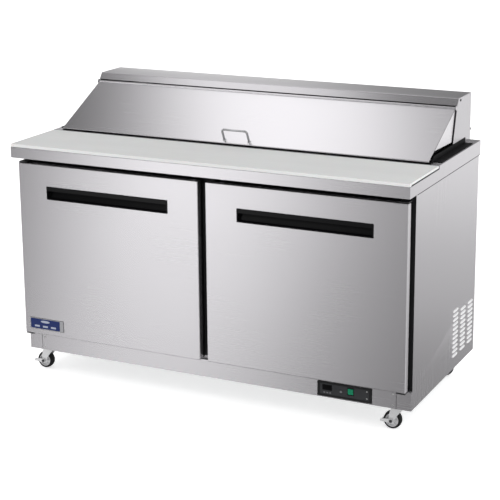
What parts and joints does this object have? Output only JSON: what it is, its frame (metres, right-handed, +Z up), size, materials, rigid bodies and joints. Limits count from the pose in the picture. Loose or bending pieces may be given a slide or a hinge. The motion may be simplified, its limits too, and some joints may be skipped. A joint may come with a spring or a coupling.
{
  "type": "sandwich prep table",
  "caption": "Refrigerated two-door prep table with a cutting board, a hinged sloped lid over hotel pans, recessed door handles and swivel casters.",
  "frame": {"origin": "on the floor under the middle of the table", "axes": "+X along the width towards the louvred side, +Y from the doors towards the back, +Z up"},
  "size_m": [1.556, 0.756, 1.083],
  "materials": {
    "stainless": "brushed, long horizontal grain",
    "bright_steel": "bright drawn stainless",
    "galvanised": "galvanised sheet",
    "liner_metal": "stucco-embossed liner sheet over foam",
    "black_plastic": "moulded, fine texture",
    "gloss_black": "glossy moulded",
    "gasket": "soft matt extrusion",
    "white_liner": "thermoformed white plastic",
    "board": "fine matt polyethylene with knife marks",
    "tyre": "matt",
    "green_lens": "translucent rocker",
    "blue_plate": "enamelled plate",
    "black_paint": "satin enamel",
    "fins": "thin fins"
  },
  "bodies": {
    "cabinet": {"base_pan": "galvanised", "side_panel_left": "stainless", "side_panel_right": "stainless", "rear_panel": "galvanised", "wall_left": "liner_metal", "wall_right": "liner_metal", "wall_rear": "liner_metal", "wall_floor": "liner_metal", "face_frame": "stainless", "kick_panel": "stainless", "control_bezel": "black_plastic", "worktop_rim": "stainless", "pan_frame": "black_plastic", "pan_1": "bright_steel", "pan_2": "bright_steel", "pan_3": "bright_steel", "pan_4": "bright_steel", "pan_5": "bright_steel", "pan_6": "bright_steel", "pan_7": "bright_steel", "pan_8": "bright_steel", "hood_cap": "stainless", "hood_end_left": "stainless", "hood_end_right": "stainless", "hinge_bracket_top_left": "black_paint", "hinge_bracket_top_right": "black_paint", "hinge_bracket_bottom_left": "black_paint", "hinge_bracket_bottom_right": "black_paint", "compressor": "black_paint", "condenser_coil": "fins", "evaporator_coil": "fins", "power_inlet": "black_plastic", "shelf_left": "bright_steel", "shelf_right": "bright_steel"},
    "board": {"cutting_board": "board"},
    "lid": {"lid_panel": "stainless", "lid_handle": "bright_steel"},
    "door_left": {"door_left_skin": "stainless", "door_left_liner": "white_liner", "door_left_gasket": "gasket", "door_left_handle": "gloss_black", "door_badge": "blue_plate"},
    "door_right": {"door_right_skin": "stainless", "door_right_liner": "white_liner", "door_right_gasket": "gasket", "door_right_handle": "gloss_black"},
    "fork_front_left": {"caster_fork_front_left": "bright_steel"},
    "wheel_front_left": {"caster_wheel_front_left": "tyre"},
    "fork_rear_left": {"caster_fork_rear_left": "bright_steel"},
    "wheel_rear_left": {"caster_wheel_rear_left": "tyre"},
    "brake_left": {"caster_brake_left": "bright_steel"},
    "fork_front_right": {"caster_fork_front_right": "bright_steel"},
    "wheel_front_right": {"caster_wheel_front_right": "tyre"},
    "fork_rear_right": {"caster_fork_rear_right": "bright_steel"},
    "wheel_rear_right": {"caster_wheel_rear_right": "tyre"},
    "brake_right": {"caster_brake_right": "bright_steel"},
    "condenser_fan": {"condenser_fan": "black_plastic"},
    "evaporator_fan": {"evaporator_fan": "black_plastic"},
    "set_button": {"thermostat_button": "gloss_black"},
    "rocker": {"rocker_switch": "green_lens"}
  },
  "joints": [
    {"name": "door_left_hinge", "type": "hinge", "parent": "cabinet", "child": "door_left", "pos_m": [-0.7525, -0.3405, 0.4985], "axis": [0, 0, -1], "range_deg": [0, 115]},
    {"name": "door_right_hinge", "type": "hinge", "parent": "cabinet", "child": "door_right", "pos_m": [0.7525, -0.3405, 0.4985], "axis": [0, 0, 1], "range_deg": [0, 115]},
    {"name": "lid_hinge", "type": "hinge", "parent": "cabinet", "child": "lid", "pos_m": [0, 0.1915, 1.0512], "axis": [-1, 0, 0], "range_deg": [0, 122]},
    {"name": "board_lift", "type": "slide", "parent": "cabinet", "child": "board", "axis": [0, 0, 1], "range_m": [0, 0.035]},
    {"name": "swivel_front_left", "type": "hinge", "parent": "cabinet", "child": "fork_front_left", "pos_m": [-0.714, -0.262, 0.09], "axis": [0, 0, 1], "continuous": true},
    {"name": "wheel_front_left_spin", "type": "hinge", "parent": "fork_front_left", "child": "wheel_front_left", "pos_m": [-0.738, -0.262, 0.0325], "axis": [0, 1, 0], "continuous": true},
    {"name": "swivel_rear_left", "type": "hinge", "parent": "cabinet", "child": "fork_rear_left", "pos_m": [-0.714, 0.3, 0.09], "axis": [0, 0, 1], "continuous": true},
    {"name": "wheel_rear_left_spin", "type": "hinge", "parent": "fork_rear_left", "child": "wheel_rear_left", "pos_m": [-0.738, 0.3, 0.0325], "axis": [0, 1, 0], "continuous": true},
    {"name": "brake_left_lever", "type": "hinge", "parent": "fork_front_left", "child": "brake_left", "pos_m": [-0.738, -0.262, 0.0325], "axis": [0, 1, 0], "range_deg": [0, 20]},
    {"name": "swivel_front_right", "type": "hinge", "parent": "cabinet", "child": "fork_front_right", "pos_m": [0.714, -0.262, 0.09], "axis": [0, 0, 1], "continuous": true},
    {"name": "wheel_front_right_spin", "type": "hinge", "parent": "fork_front_right", "child": "wheel_front_right", "pos_m": [0.69, -0.262, 0.0325], "axis": [0, 1, 0], "continuous": true},
    {"name": "swivel_rear_right", "type": "hinge", "parent": "cabinet", "child": "fork_rear_right", "pos_m": [0.714, 0.3, 0.09], "axis": [0, 0, 1], "continuous": true},
    {"name": "wheel_rear_right_spin", "type": "hinge", "parent": "fork_rear_right", "child": "wheel_rear_right", "pos_m": [0.69, 0.3, 0.0325], "axis": [0, 1, 0], "continuous": true},
    {"name": "brake_right_lever", "type": "hinge", "parent": "fork_front_right", "child": "brake_right", "pos_m": [0.69, -0.262, 0.0325], "axis": [0, 1, 0], "range_deg": [0, 20]},
    {"name": "condenser_fan_spin", "type": "hinge", "parent": "cabinet", "child": "condenser_fan", "pos_m": [0.625, 0.225, 0.2188], "axis": [0, 1, 0], "continuous": true},
    {"name": "evaporator_fan_spin", "type": "hinge", "parent": "cabinet", "child": "evaporator_fan", "pos_m": [0, 0.222, 0.645], "axis": [0, 1, 0], "continuous": true},
    {"name": "set_button_press", "type": "slide", "parent": "cabinet", "child": "set_button", "axis": [0, 1, 0], "range_m": [0, 0.001], "stiffness_N_per_m": 300},
    {"name": "rocker_tilt", "type": "hinge", "parent": "cabinet", "child": "rocker", "pos_m": [0.552, -0.3105, 0.128], "axis": [-1, 0, 0], "range_deg": [0, 13]}
  ]
}
